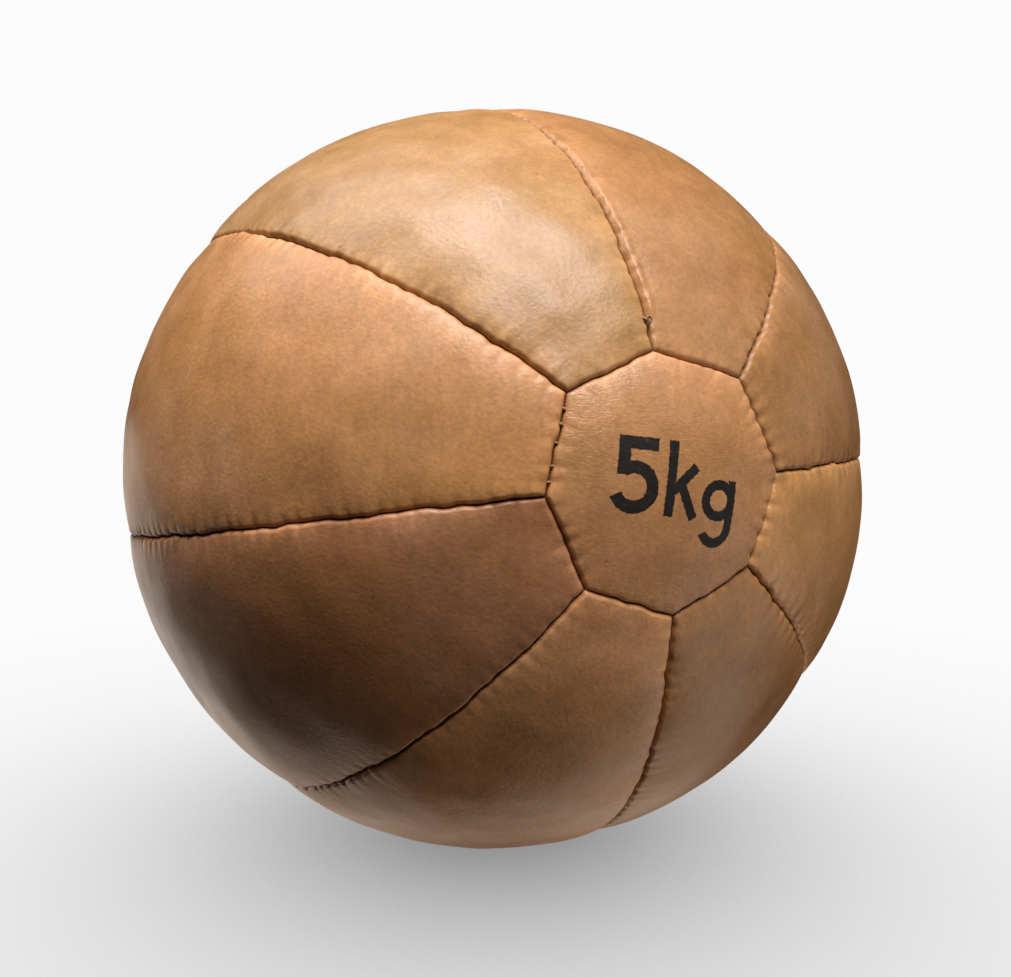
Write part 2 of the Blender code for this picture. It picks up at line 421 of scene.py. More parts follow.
def seam_relief(rng, seam, away, along, pull, pucker):
    """Heights beside one edge: drawn down at the stitches, with puckers that run off from them."""
    count = len(seam.stitches)
    depths = pucker * rng.uniform(*PUCKER_DEPTHS, count)
    reaches = rng.uniform(*PUCKER_REACHES, count)
    widths = rng.uniform(*PUCKER_WIDTHS, count)
    leans = rng.uniform(-PUCKER_LEAN, PUCKER_LEAN, count)
    deep = rng.random(count) < DEEP_PUCKERS
    depths[deep] *= DEEPER
    reaches[deep] *= LONGER
    near = np.flatnonzero((away < PUCKER_LIMIT) & (along > -4 * MM) & (along < seam.length + 4 * MM))
    step_along = along[near]
    clear = np.maximum(away[near], 0)
    total = np.zeros(len(near))
    for index, place in enumerate(seam.stitches):
        mine = np.abs(step_along - place) < STITCH_LIMIT
        step = step_along[mine] - place
        off = clear[mine]
        drawn = np.exp(-((step / PULL_WIDTH) ** 2) - off / PULL_REACH)
        squared = ((step - leans[index] * off) / widths[index]) ** 2
        crease = (1 - 0.8 * squared) * np.exp(-0.8 * squared - (off / reaches[index]) ** 1.5)
        total[mine] -= pull * STITCH_PULL * seam.pulls[index] * drawn + depths[index] * crease
    ends = np.minimum(step_along, seam.length - step_along)
    height = np.zeros(len(away))
    height[near] = total * smooth_step(ends, -2 * MM, 1 * MM)
    return height


def rolled_ridge(rng, away, along):
    """The rounded ridge along the closing seam, pinched here and there."""
    pinches = np.arange(RIDGE_START + PINCH_SPACING, RIDGE_FADE[1], PINCH_SPACING)
    pinches += rng.uniform(-0.3, 0.3, len(pinches)) * PINCH_SPACING
    pinched = np.exp(-(((along[:, None] - pinches) / PINCH_WIDTH) ** 2)).max(axis=1)
    strength = smooth_step(along, RIDGE_START - 4 * MM, RIDGE_START + 3 * MM)
    strength = strength * (1 - smooth_step(along, *RIDGE_FADE)) * (1 - PINCH_STRENGTH * pinched)
    return RIDGE_HEIGHT * strength * np.exp(-(((away - RIDGE_AWAY) / RIDGE_WIDTH) ** 2))


def fall(edges):
    """How far the sheet falls towards the seams all round it."""
    clear = 1.0
    for _, away, _ in edges:
        clear = clear * (1 - np.exp(-np.maximum(away, 0) / FALL_REACH))
    return -FALL * (1 - clear)


# The panels' meshes


def outer_profile():
    """The fold's outer face, from the panel outwards: distances from the seam, and heights."""
    turns = between(0, math.pi / 2, np.arange(FOLD_STEPS + 1) / FOLD_STEPS)
    away = [*EDGE_RINGS, *(HALF_GAP + FOLD_RADIUS * (1 - np.sin(turns)))]
    height = [*np.zeros(len(EDGE_RINGS)), *(-FOLD_RADIUS * (1 - np.cos(turns)))]
    for depth in np.linspace(FOLD_RADIUS, FLANGE_FOOT, 4)[1:]:
        away.append(HALF_GAP)
        height.append(-depth)
    return np.array(away), np.array(height)


def inner_profile():
    """The same for the flesh side, which turns in a smaller round."""
    turns = between(0, math.pi / 2, np.arange(FLESH_FOLD_STEPS + 1) / FLESH_FOLD_STEPS)
    inner = FOLD_RADIUS - SKIVED
    away = [6.6 * MM, 4.8 * MM, *(HALF_GAP + FOLD_RADIUS - inner * np.sin(turns))]
    height = [-LEATHER, -between(LEATHER, SKIVED, 0.5), *(-FOLD_RADIUS + inner * np.cos(turns))]
    for depth in (0.5 * (FOLD_RADIUS + FLANGE_FOOT), FLANGE_FOOT):
        away.append(HALF_GAP + SKIVED)
        height.append(-depth)
    return np.array(away), np.array(height)


def grid_quads(index):
    """Faces of a grid of vertex numbers."""
    corners = (index[:-1, :-1], index[:-1, 1:], index[1:, 1:], index[1:, :-1])
    return np.stack([corner.ravel() for corner in corners], axis=1)


def grid_border(index):
    """The vertex numbers round a grid's edge."""
    return np.concatenate((index[0, :-1], index[:-1, -1], index[-1, :0:-1], index[:0:-1, 0]))


def strip_quads(loop, next_loop):
    """Faces between a closed loop of vertices and the next one out."""
    return np.stack((loop, next_loop, np.roll(next_loop, -1), np.roll(loop, -1)), axis=1)


def strips(loops):
    """Faces between each of a row of closed loops and the next."""
    return np.concatenate([strip_quads(a, b) for a, b in zip(loops, loops[1:])])


def flip(faces):
    return [block[:, ::-1] for block in faces]


def disc(rings, count):
    """Rings of vertices round a middle one: shares of the reach, turns, faces and outermost loop."""
    reach = np.concatenate(((0.0,), np.repeat(np.arange(1, rings + 1) / rings, count)))
    turn = np.concatenate(((0.0,), np.tile(np.arange(count) * math.tau / count, rings)))
    index = 1 + np.arange(rings * count).reshape(rings, count)
    hub = np.stack((np.zeros(count, int), index[0], np.roll(index[0], -1)), axis=1)
    return reach, turn, [strips(index), hub], index[-1]


def add_object(name, data):
    item = bpy.data.objects.new(name, data)
    bpy.context.scene.collection.objects.link(item)
    return item


def add_mesh(name, vertices, faces, material):
    """A smooth object of vertices and a list of arrays of faces, each with one number of corners."""
    mesh = bpy.data.meshes.new(name)
    sizes = np.concatenate([np.full(len(block), block.shape[1]) for block in faces])
    corners = np.concatenate([block.ravel() for block in faces])
    mesh.vertices.add(len(vertices))
    mesh.vertices.foreach_set("co", np.asarray(vertices, np.float32).ravel())
    mesh.loops.add(len(corners))
    mesh.loops.foreach_set("vertex_index", corners.astype(np.int32))
    mesh.polygons.add(len(sizes))
    mesh.polygons.foreach_set("loop_start", (np.cumsum(sizes) - sizes).astype(np.int32))
    mesh.update(calc_edges=True)
    mesh.validate()
    mesh.shade_smooth()
    mesh.materials.append(material)
    return add_object(name, mesh)


def set_attribute(item, name, kind, values):
    attribute = item.data.attributes.new(name, kind, "POINT")
    key = "vector" if kind == "FLOAT_VECTOR" else "value"
    attribute.data.foreach_set(key, np.asarray(values, np.float32).ravel())


@dataclass
class Panel:
    """A panel's plan: the places of its middle grid, and how its edge is followed."""

    middle: tuple  # polar angles and longitudes
    faces: list
    loop: np.ndarray  # the middle's outermost vertices, in order
    own_edge: np.ndarray  # the edge that each loop vertex belongs to
    ring: object  # insets to the places of a ring
    edges: object  # places to distances from every edge
    pushes: object  # places to the way that each edge strays


def gore_panel(gore):
    rows, columns = GORE_ROWS, GORE_COLUMNS
    v, u = np.mgrid[0 : rows + 1, 0 : columns + 1]
    index = np.arange(u.size).reshape(u.shape)
    u = u / columns
    v = v / rows
    loop = grid_border(index)
    own = np.repeat((2, 1, 3, 0), (columns, rows, columns, rows))
    loop_u, loop_v = u.ravel()[loop], v.ravel()[loop]
    return Panel(
        middle=gore_place(gore, u.ravel(), v.ravel(), np.full(u.size, EDGE_BAND)),
        faces=[grid_quads(index)],
        loop=loop,
        own_edge=own,
        ring=lambda inset: gore_place(gore, loop_u, loop_v, inset),
        edges=partial(gore_edges, gore),
        pushes=partial(gore_pushes, gore),
    )


def cap_panel(side):
    reach, turn, faces, loop = disc(CAP_RINGS, GORES * CAP_SEGMENTS)
    return Panel(
        middle=cap_place(side, reach, turn, np.full(reach.size, EDGE_BAND)),
        faces=faces,
        loop=loop,
        own_edge=np.repeat(np.arange(GORES), CAP_SEGMENTS),
        ring=lambda inset: cap_place(side, 1.0, turn[loop], inset),
        edges=partial(cap_edges, side),
        pushes=lambda longitude: [cap_side_normal(gore, side) for gore in range(GORES)],
    )


def carried(panel, polar, longitude, edges):
    """Unit vectors to a panel's places, carried along where its seams stray."""
    units = directions(polar, longitude)
    for (seam, away, along), push in zip(edges, panel.pushes(longitude)):
        stray = seam.waver(along) * np.exp(-np.maximum(away, 0) / WAVER_REACH) / BALL_RADIUS
        units = units + stray[:, None] * push
    return units / np.linalg.norm(units, axis=1)[:, None]


def settle(places, depth):
    """Flattens a layer that lies depth under the ball's face where it rests on the floor."""
    places[:, 2] = np.maximum(places[:, 2], FLOOR + depth)
    return places


def panel_gape(panel):
    """How far each place on a panel's edge stands off, which is least at the stitches."""
    own = panel.ring(np.full(len(panel.loop), HALF_GAP))
    gape = np.zeros(len(panel.loop))
    for edge, (seam, _, along) in enumerate(panel.edges(*own)):
        mine = panel.own_edge == edge
        steps = (along[mine][:, None] - seam.stitches) / PULL_WIDTH
        closeness = np.exp(-(steps**2)).max(axis=1)
        ends = np.minimum(along[mine], seam.length - along[mine])
        gape[mine] = seam.gape * (1 - 0.5 * closeness) * smooth_step(ends, 0, 2 * MM)
    return gape


def panel_side(panel, profile, height, gape):
    """A panel's middle and the rings of its fold: polar angles, longitudes, heights and shares of
    turned-in wall, and the loops that the rings are."""
    size = len(panel.middle[0])
    count = len(panel.loop)
    rings = [(*panel.middle, np.full(size, height), np.zeros(size))]
    loops = [panel.loop]
    for away, height in zip(*profile):
        places = panel.ring(away + gape * smooth_step(-away, -GAPE_REACH, -FOLD_RADIUS))
        wall = smooth_step(-height, FOLD_RADIUS, FLANGE_FOOT)
        rings.append((*places, np.full(count, height), np.full(count, wall)))
        loops.append(size + np.arange(count))
        size += count
    return [np.concatenate(values) for values in zip(*rings)], loops


def add_panel(name, panel, shape, relief, material, flipped=False):
    """A panel as one closed solid: its grain side, its turned-in edges and its flesh side."""
    gape = panel_gape(panel)
    vertices = []
    faces = []
    loops = []
    groove_shades = []
    wear_and_highlight = []
    count = 0
    for profile, depth, outer in ((outer_profile(), 0.0, True), (inner_profile(), LEATHER, False)):
        values, side_loops = panel_side(panel, profile, -depth, gape)
        polar, longitude, height, wall = values
        edges = panel.edges(polar, longitude)
        height += shape(polar, longitude, edges) * (1 - FLANGE_HOLD * wall)
        if outer:
            height += relief(polar, longitude, edges) * (1 - wall)
        places = carried(panel, polar, longitude, edges) * (BALL_RADIUS + height)[:, None]
        vertices.append(settle(places, depth))
        nearest = np.maximum(np.min([away for _, away, _ in edges], axis=0), 0)
        # Painted shade in the seams' grooves: darkest at the seam, none on the flesh side
        groove_shades.append(np.exp(-nearest / GROOVE_SHADE_WIDTH) if outer else np.ones(len(polar)))
        # Paler bands beside the seams: part wear, part painted highlight of the pillowed edges
        wear_and_highlight.append(np.exp(-nearest / WEAR_AND_HIGHLIGHT_REACH))
        blocks = [block + count for block in panel.faces]
        side_loops = [loop + count for loop in side_loops]
        if not outer:
            blocks = flip(blocks)
            side_loops.reverse()
        faces.extend(blocks)
        loops.extend(side_loops)
        count += len(polar)
    faces.append(strips(loops))
    if flipped:
        faces = flip(faces)
    item = add_mesh(name, np.concatenate(vertices), faces, material)
    set_attribute(item, "groove_shade", "FLOAT", np.concatenate(groove_shades))
    set_attribute(item, "wear_and_highlight", "FLOAT", np.concatenate(wear_and_highlight))
    return item


# The packing's push, by cloth simulation


def cloth_sheets():
    """A coarse sheet for each panel: its places, shape, faces and edge."""
    sheets = []
    v, u = np.mgrid[0 : CLOTH_ROWS + 1, 0 : CLOTH_COLUMNS + 1]
    index = np.arange(u.size).reshape(u.shape)
    edge = (u == 0) | (u == CLOTH_COLUMNS) | (v == 0) | (v == CLOTH_ROWS)
    inset = np.full(u.size, CLOTH_INSET)
    for gore in range(GORES):
        places = gore_place(gore, u.ravel() / CLOTH_COLUMNS, v.ravel() / CLOTH_ROWS, inset)
        sheets.append((places, u.shape, grid_quads(index), edge.ravel()))
    turns = GORES * CLOTH_SEGMENTS
    ring, turn = np.mgrid[0 : CLOTH_RINGS + 1, 0:turns]
    index = np.arange(ring.size).reshape(ring.shape)
    quads = strips(index)
    inset = np.full(ring.size, CLOTH_INSET)
    reach = np.maximum(ring.ravel() / CLOTH_RINGS, CLOTH_HUB)
    for side in (MARKED, PLAIN):
        places = cap_place(side, reach, turn.ravel() * math.tau / turns, inset)
        flipped = quads[:, ::-1] if side == MARKED else quads
        sheets.append((places, ring.shape, flipped, (ring == CLOTH_RINGS).ravel()))
    return sheets


def simulate(vertices, quads, pinned):
    """Where the sheets come to when the packing pushes them outwards, with their edges held."""
    item = add_mesh("sheets", vertices, [quads], None)
    group = item.vertex_groups.new(name="held")
    group.add(np.flatnonzero(pinned).tolist(), 1.0, "REPLACE")
    cloth = item.modifiers.new("cloth", "CLOTH")
    settings = cloth.settings
    settings.quality = CLOTH_QUALITY
    settings.mass = CLOTH_MASS
    settings.tension_stiffness = CLOTH_STIFFNESS
    settings.compression_stiffness = CLOTH_STIFFNESS
    settings.shear_stiffness = CLOTH_SHEAR_STIFFNESS
    settings.bending_stiffness = CLOTH_BENDING_STIFFNESS
    settings.use_pressure = True
    settings.uniform_pressure_force = CLOTH_PRESSURE
    settings.vertex_group_mass = "held"
    settings.effector_weights.gravity = 0.0
    cloth.collision_settings.use_collision = False
    cloth.point_cache.frame_end = CLOTH_FRAMES
    scene = bpy.context.scene
    for step in range(1, CLOTH_FRAMES + 1):
        scene.frame_set(step)
    evaluated = item.evaluated_get(bpy.context.evaluated_depsgraph_get())
    settled = np.zeros(len(vertices) * 3, np.float32)
    evaluated.data.vertices.foreach_get("co", settled)
    bpy.data.objects.remove(item)
    scene.frame_set(1)
    return settled.reshape(-1, 3)


def stuffed_swells():
    """For each panel, how far the packing has pushed it out, as a grid of distances."""
    sheets = cloth_sheets()
    starts = [directions(*places) * (BALL_RADIUS - CLOTH_START) for places, _, _, _ in sheets]
    offsets = np.cumsum([0] + [len(start) for start in starts])
    quads = np.concatenate([sheet[2] + offset for sheet, offset in zip(sheets, offsets)])
    pinned = np.concatenate([sheet[3] for sheet in sheets])
    vertices = np.concatenate(starts)
    settled = simulate(vertices, quads, pinned)
    out = np.linalg.norm(settled, axis=1) - np.linalg.norm(vertices, axis=1)
    out -= CLOTH_START
    return [out[a:b].reshape(sheet[1]) for a, b, sheet in zip(offsets, offsets[1:], sheets)]


def sample(grid, row, column):
    """A grid's value between its points."""
    row = np.clip(row, 0, grid.shape[0] - 1.001)
    column = np.clip(column, 0, grid.shape[1] - 1.001)
    r = row.astype(int)
    c = column.astype(int)
    low = between(grid[r, c], grid[r, c + 1], column - c)
    high = between(grid[r + 1, c], grid[r + 1, c + 1], column - c)
    return between(low, high, row - r)


def gore_swell(gore, grid):
    def swell(polar, longitude, edges):
        if grid is None:
            return fall(edges)
        u, v = gore_shares(gore, polar, longitude)
        return sample(grid, v * CLOTH_ROWS, u * CLOTH_COLUMNS)

    return swell


def cap_swell(side, grid):
    wrapped = None if grid is None else np.concatenate((grid, grid[:, :1]), axis=1)
    centre = 0.0 if side == MARKED else math.pi

    def swell(polar, longitude, edges):
        if grid is None:
            return fall(edges)
        turn = (longitude - FIRST_SEAM) % math.tau
        reach = (polar - centre) / (cap_edge(side, turn, np.zeros(len(turn))) - centre)
        return sample(wrapped, reach * CLOTH_RINGS, turn * GORES * CLOTH_SEGMENTS / math.tau)

    return swell


# Materials


def rgba(colour):
    return (*colour, 1.0)


class Paint:
    """A material's nodes, added one by one."""

    def __init__(self, name):
        self.material = bpy.data.materials.new(name)
        self.material.use_nodes = True
        self.tree = self.material.node_tree
        self.shader = self.tree.nodes["Principled BSDF"]

    def add(self, kind, inputs=None, **settings):
        made = self.tree.nodes.new(kind)
        for key, value in settings.items():
            setattr(made, key, value)
        for socket, value in (inputs or {}).items():
            self.plug(made.inputs[socket], value)
        return made

    def plug(self, socket, value):
        if isinstance(value, bpy.types.NodeSocket):
            self.tree.links.new(value, socket)
        else:
            socket.default_value = value

    def maths(self, operation, *values):
        made = self.add("ShaderNodeMath", operation=operation)
        for socket, value in zip(made.inputs, values):
            self.plug(socket, value)
        return made.outputs[0]

    def place(self, scale=(1, 1, 1), shift=(0, 0, 0), turn=(0, 0, 0)):
        """Coordinates on the ball in metres, scaled, turned and moved."""
        coords = self.add("ShaderNodeTexCoord").outputs["Object"]
        mapping = self.add("ShaderNodeMapping", {"Vector": coords})
        mapping.inputs["Scale"].default_value = scale
        mapping.inputs["Location"].default_value = shift
        mapping.inputs["Rotation"].default_value = turn
        return mapping.outputs[0]

    def noise(self, vector, scale, detail=2.0, roughness=0.5, distortion=0.0):
        inputs = {
            "Vector": vector,
            "Scale": scale,
            "Detail": detail,
            "Roughness": roughness,
            "Distortion": distortion,
        }
        return self.add("ShaderNodeTexNoise", inputs).outputs["Fac"]

    def cells(self, vector, scale, feature="F1", output="Distance"):
        inputs = {"Vector": vector, "Scale": scale}
        return self.add("ShaderNodeTexVoronoi", inputs, feature=feature).outputs[output]

    def remap(self, value, low, high, to_low=0.0, to_high=1.0):
        inputs = {
            "Value": value,
            "From Min": low,
            "From Max": high,
            "To Min": to_low,
            "To Max": to_high,
        }
        return self.add("ShaderNodeMapRange", inputs).outputs["Result"]

    def attribute(self, name, output="Fac"):
        return self.add("ShaderNodeAttribute", attribute_name=name).outputs[output]

    def mix(self, share, first, second, blend="MIX"):
        made = self.add("ShaderNodeMix", data_type="RGBA", blend_type=blend)
        self.plug(made.inputs[0], share)
        self.plug(made.inputs[6], first)
        self.plug(made.inputs[7], second)
        return made.outputs[2]

    def blend(self, value, span, first, second):
        """One colour where the value is low, and another where it is high."""
        return self.mix(self.remap(value, *span), rgba(first), rgba(second))

    def number_between(self, first, second, share):
        """A number between two others."""
        made = self.add("ShaderNodeMix", data_type="FLOAT")
        self.plug(made.inputs[0], share)
        self.plug(made.inputs[2], first)
        self.plug(made.inputs[3], second)
        return made.outputs[0]

    def bump(self, height, distance, normal=None, strength=1.0):
        inputs = {"Height": height, "Distance": distance, "Strength": strength}
        if normal is not None:
            inputs["Normal"] = normal
        return self.add("ShaderNodeBump", inputs).outputs["Normal"]

    def finish(self, colour, roughness, normal=None):
        self.plug(self.shader.inputs["Base Color"], colour)
        self.plug(self.shader.inputs["Roughness"], roughness)
        if normal is not None:
            self.plug(self.shader.inputs["Normal"], normal)
        return self.material


MARK_CENTRE = (3.0 * MM, 1.0 * MM)  # across and up the marked cap
MARK_TILT = math.radians(6)
FIGURE_STROKE = 3.4  # in mm, as all the strokes' places are
LETTER_STROKE = 2.7
INK_ROUGHNESS = 0.75


def mark_distance(paint):
    """Signed distance from a plain weight mark, 5 kg in one line, drawn with bars and arcs."""
    split = paint.add("ShaderNodeSeparateXYZ", {0: paint.place()})
    across = paint.maths("SUBTRACT", split.outputs["X"], MARK_CENTRE[0])
    up = paint.maths("SUBTRACT", split.outputs["Z"], MARK_CENTRE[1])
    flat = paint.add("ShaderNodeCombineXYZ", {0: across, 1: up}).outputs[0]

    def rotated(vector, angle):
        inputs = {"Vector": vector, "Angle": angle}
        return paint.add("ShaderNodeVectorRotate", inputs, rotation_type="Z_AXIS").outputs[0]

    def vector_maths(operation, first, second=(0, 0, 0), output="Vector"):
        made = paint.add("ShaderNodeVectorMath", {0: first, 1: second}, operation=operation)
        return made.outputs[output]

    place = rotated(flat, MARK_TILT)

    def bar(start, end, width):
        """A square-ended stroke."""
        middle = [between(a, b, 0.5) * MM for a, b in zip(start, end)]
        length = math.dist(start, end) * MM
        lean = math.atan2(end[1] - start[1], end[0] - start[0])
        offset = vector_maths("SUBTRACT", place, (*middle, 0))
        size = vector_maths("ABSOLUTE", rotated(offset, -lean))
        parts = paint.add("ShaderNodeSeparateXYZ", {0: size})
        beyond = paint.maths("SUBTRACT", parts.outputs[0], length / 2)
        beside = paint.maths("SUBTRACT", parts.outputs[1], width * MM / 2)
        return paint.maths("MAXIMUM", beyond, beside)

    def arc(centre, radius, width, start, end):
        """A stroke round a centre, counter-clockwise from one angle to another, in degrees."""
        centre = [value * MM for value in centre]
        offset = vector_maths("SUBTRACT", place, (*centre, 0))
        far = vector_maths("LENGTH", offset, output="Value")
        ring = paint.maths("ABSOLUTE", paint.maths("SUBTRACT", far, radius * MM))
        ring = paint.maths("SUBTRACT", ring, width * MM / 2)
        if end - start >= 360:
            return ring
        cuts = []
        for angle, side in ((start, 1), (end, -1)):
            turn = math.radians(angle)
            normal = (side * math.sin(turn), -side * math.cos(turn), 0)
            cuts.append(vector_maths("DOT_PRODUCT", offset, normal, output="Value"))
        kept = paint.maths("MINIMUM" if end - start > 180 else "MAXIMUM", *cuts)
        return paint.maths("MAXIMUM", ring, kept)

    figure, letter = FIGURE_STROKE, LETTER_STROKE
    strokes = [
        bar((-20.0, 8.3), (-9.0, 8.3), figure),
        bar((-18.3, 9.8), (-18.3, -0.2), figure),
        arc((-15.0, -3.2), 5.2, figure, -155, 130),
        bar((-4.6, 10.0), (-4.6, -10.0), letter),
        bar((-3.9, -3.2), (2.6, 3.8), letter),
        bar((-1.9, -0.9), (3.0, -10.0), letter),
        arc((10.6, -4.4), 4.2, letter, 0, 360),
        bar((14.8, 1.2), (14.8, -11.6), letter),
        arc((10.6, -11.6), 4.2, letter, -155, 4),
    ]
    nearest = strokes[0]
    for stroke in strokes[1:]:
        nearest = paint.maths("MINIMUM", nearest, stroke)
    return nearest


def add_mark(paint, colour, roughness):
    """Lays the weight mark's ink over the leather, a little ragged where the grain broke it."""
    rag = paint.noise(paint.place(), 1300, detail=2)
    rag = paint.remap(rag, 0.2, 0.8, -0.22 * MM, 0.22 * MM)
    distance = paint.maths("ADD", mark_distance(paint), rag)
    ink = paint.remap(distance, -0.09 * MM, 0.09 * MM, 1.0, 0.0)
    wear = paint.noise(paint.place(), 420, detail=3)
    ink = paint.maths("MULTIPLY", ink, paint.remap(wear, 0.66, 0.84, 1.0, 0.8))
    black = paint.blend(wear, (0.3, 0.7), (0.009, 0.006, 0.005), (0.018, 0.012, 0.009))
    return paint.mix(ink, colour, black), paint.number_between(roughness, INK_ROUGHNESS, ink)


LEATHER_GLOSS = 0.42
WAX = 0.15  # how much of a waxed coat the leather has
WAX_ROUGHNESS = 0.26


def leather_material(name, tone_and_painted_light, seed, marked=False):
    """Waxed brown leather: mottled and grained, with painted shade darkening it in the seams' grooves,
    and paler bands beside the seams that are part wear and part painted highlight.
    """
    paint = Paint(name)
    shift = (0.31 * seed, 0.17 * seed, 0.23 * seed)
    place = paint.place(shift=shift)
    clouds = paint.noise(place, 20, detail=3, roughness=0.6)
    patches = paint.noise(place, 70, detail=3, roughness=0.6, distortion=0.4)
    mottle = paint.noise(place, 260, detail=3, roughness=0.6)
    fine = paint.noise(place, 760, detail=2)
    grain = paint.cells(place, 1050, feature="SMOOTH_F1")
    slanted = paint.place(scale=(520, 520, 150), shift=shift, turn=(0.7, 0.5, 0.3))
    scuffs = paint.noise(slanted, 1.0, detail=2, distortion=0.4)

    warm = [tone_and_painted_light[0] * 1.03, tone_and_painted_light[1] * 0.98, tone_and_painted_light[2] * 0.86]
    pale = [tone_and_painted_light[0] * 1.02, tone_and_painted_light[1] * 1.03, tone_and_painted_light[2] * 1.16]
    ruddy = [tone_and_painted_light[0] * 0.94, tone_and_painted_light[1] * 0.87, tone_and_painted_light[2] * 0.84]
    colour = paint.blend(clouds, (0.38, 0.62), warm, pale)
    elsewhere = paint.place(shift=shift[::-1])
    drifts = paint.noise(elsewhere, 33, detail=3, roughness=0.6, distortion=0.6)
    colour = paint.mix(paint.remap(drifts, 0.46, 0.66, 0.0, 0.9), colour, rgba(ruddy))
    light = paint.remap(clouds, 0.3, 0.7, 0.89, 1.10)
    for layer, spread in ((patches, 0.08), (mottle, 0.06), (fine, 0.07), (scuffs, 0.05)):
        factor = paint.remap(layer, 0.3, 0.7, 1 - spread, 1 + spread)
        light = paint.maths("MULTIPLY", light, factor)
    light = paint.maths("MULTIPLY", light, paint.remap(grain, 0.0, 0.7, 1.03, 0.93))
    light = paint.maths("MULTIPLY", light, specks(paint, place))
    # Painted shade: the colour darkens in the seams' grooves
    groove_shade = paint.attribute("groove_shade")
    light = paint.maths("MULTIPLY", light, paint.remap(groove_shade, 0.2, 1.0, 1.0, 0.55))
    # Paler near the seams, in patches: part wear, part painted highlight
    wear_and_highlight = paint.maths("MULTIPLY", paint.attribute("wear_and_highlight"), paint.remap(patches, 0.35, 0.6, 0.2, 1.0))
    light = paint.maths("MULTIPLY", light, paint.remap(wear_and_highlight, 0.0, 1.0, 0.98, 1.28))
    grey = paint.add("ShaderNodeCombineColor", {0: light, 1: light, 2: light}).outputs[0]
    colour = paint.mix(1.0, colour, grey, "MULTIPLY")

    roughness = paint.remap(patches, 0.3, 0.7, 0.36, 0.46)
    normal = None
    for layer, height, strength in (
        (patches, 0.32 * MM, 0.5),
        (mottle, 0.045 * MM, 0.5),
        (scuffs, 0.08 * MM, 0.5),
        (fine, 0.09 * MM, 0.6),
        (grain, 0.08 * MM, 0.7),
    ):
        normal = paint.bump(layer, height, normal, strength)
    if marked:
        normal = paint.bump(fine_creases(paint), 0.07 * MM, normal, strength=0.6)
        colour, roughness = add_mark(paint, colour, roughness)
    paint.shader.inputs["Specular IOR Level"].default_value = LEATHER_GLOSS
    paint.shader.inputs["Coat Weight"].default_value = WAX
    paint.shader.inputs["Coat Roughness"].default_value = WAX_ROUGHNESS
    paint.plug(paint.shader.inputs["Coat Normal"], normal)
    return paint.finish(colour, roughness, normal)


def specks(paint, place):
    """Small dark pits, one to a few square centimetres."""
    spacing = 110  # to a metre
    off = paint.cells(place, spacing)
    cell = paint.cells(place, spacing, output="Color")
    chosen = paint.add("ShaderNodeSeparateColor", {0: cell}).outputs[0]
    near = paint.remap(off, 0.03, 0.07, 1.0, 0.0)
    pit = paint.maths("MULTIPLY", near, paint.remap(chosen, 0.8, 0.82))
    return paint.remap(pit, 0, 1, 1.0, 0.6)


def fine_creases(paint):
    """Level, wavy creases, as in leather that has been stretched over the packing."""
    waves = paint.noise(paint.place(scale=(210, 210, 480)), 1.0, detail=2, distortion=1.4)
    folds = paint.maths("ABSOLUTE", paint.maths("SUBTRACT", waves, 0.5))
    strength = paint.noise(paint.place(shift=(3, 1, 2)), 26, detail=1)
    strength = paint.remap(strength, 0.4, 0.6, 0.15, 1.0)
    return paint.maths("MULTIPLY", paint.remap(folds, 0.0, 0.06), strength)


def canvas_material():
    """Undyed plain-woven canvas."""
    paint = Paint("lining_canvas")
    split = paint.add("ShaderNodeSeparateXYZ", {0: paint.attribute("weave", "Vector")})
    yarn = 1.1 * MM
    waves = []
    for axis in (0, 1):
        turns = paint.maths("MULTIPLY", split.outputs[axis], math.pi / yarn)
        waves.append(paint.maths("SINE", turns))
    over = paint.maths("MULTIPLY", waves[0], waves[1])
    height = paint.remap(over, -1, 1)
    uneven = paint.noise(paint.place(), 300, detail=3)
    colour = paint.blend(height, (0.2, 0.8), (0.42, 0.35, 0.25), (0.62, 0.55, 0.42))
    colour = paint.mix(paint.remap(uneven, 0.3, 0.7, 0.0, 0.35), colour, rgba((0.50, 0.41, 0.28)))
    normal = paint.bump(height, 0.3 * MM, strength=0.8)
    normal = paint.bump(uneven, 0.1 * MM, normal, strength=0.5)
    return paint.finish(colour, paint.remap(uneven, 0.3, 0.7, 0.82, 0.95), normal)


def thread_material():
    """Linen thread, browned with wax."""
    paint = Paint("waxed_thread")
    fray = paint.noise(paint.place(), 2600, detail=3)
    wax = paint.noise(paint.place(), 300, detail=2)
    colour = paint.blend(wax, (0.35, 0.65), (0.46, 0.27, 0.125), (0.30, 0.155, 0.065))
    colour = paint.mix(paint.remap(fray, 0.5, 0.8, 0.0, 0.5), colour, rgba((0.62, 0.42, 0.23)))
    normal = paint.bump(fray, 0.08 * MM, strength=0.7)
    return paint.finish(colour, paint.remap(wax, 0.3, 0.7, 0.42, 0.6), normal)


def felt_material():
    """Grey felt with flecks of other fibres."""
    paint = Paint("wrap_felt")
    hairs = paint.noise(paint.place(scale=(1, 1, 3)), 500, detail=5, roughness=0.7, distortion=2.5)
    matted = paint.noise(paint.place(), 60, detail=4, distortion=0.8)
    flecks = paint.cells(paint.place(scale=(1, 2, 1)), 260, output="Color")
    colour = paint.blend(hairs, (0.3, 0.7), (0.27, 0.245, 0.21), (0.46, 0.43, 0.38))
    colour = paint.mix(0.22, colour, flecks, "SOFT_LIGHT")
    colour = paint.mix(paint.remap(matted, 0.4, 0.7, 0.0, 0.4), colour, rgba((0.33, 0.29, 0.24)))
    normal = paint.bump(matted, 0.6 * MM, strength=0.6)
    normal = paint.bump(hairs, 0.3 * MM, normal, strength=0.8)
    return paint.finish(colour, paint.remap(hairs, 0.3, 0.7, 0.88, 1.0), normal)


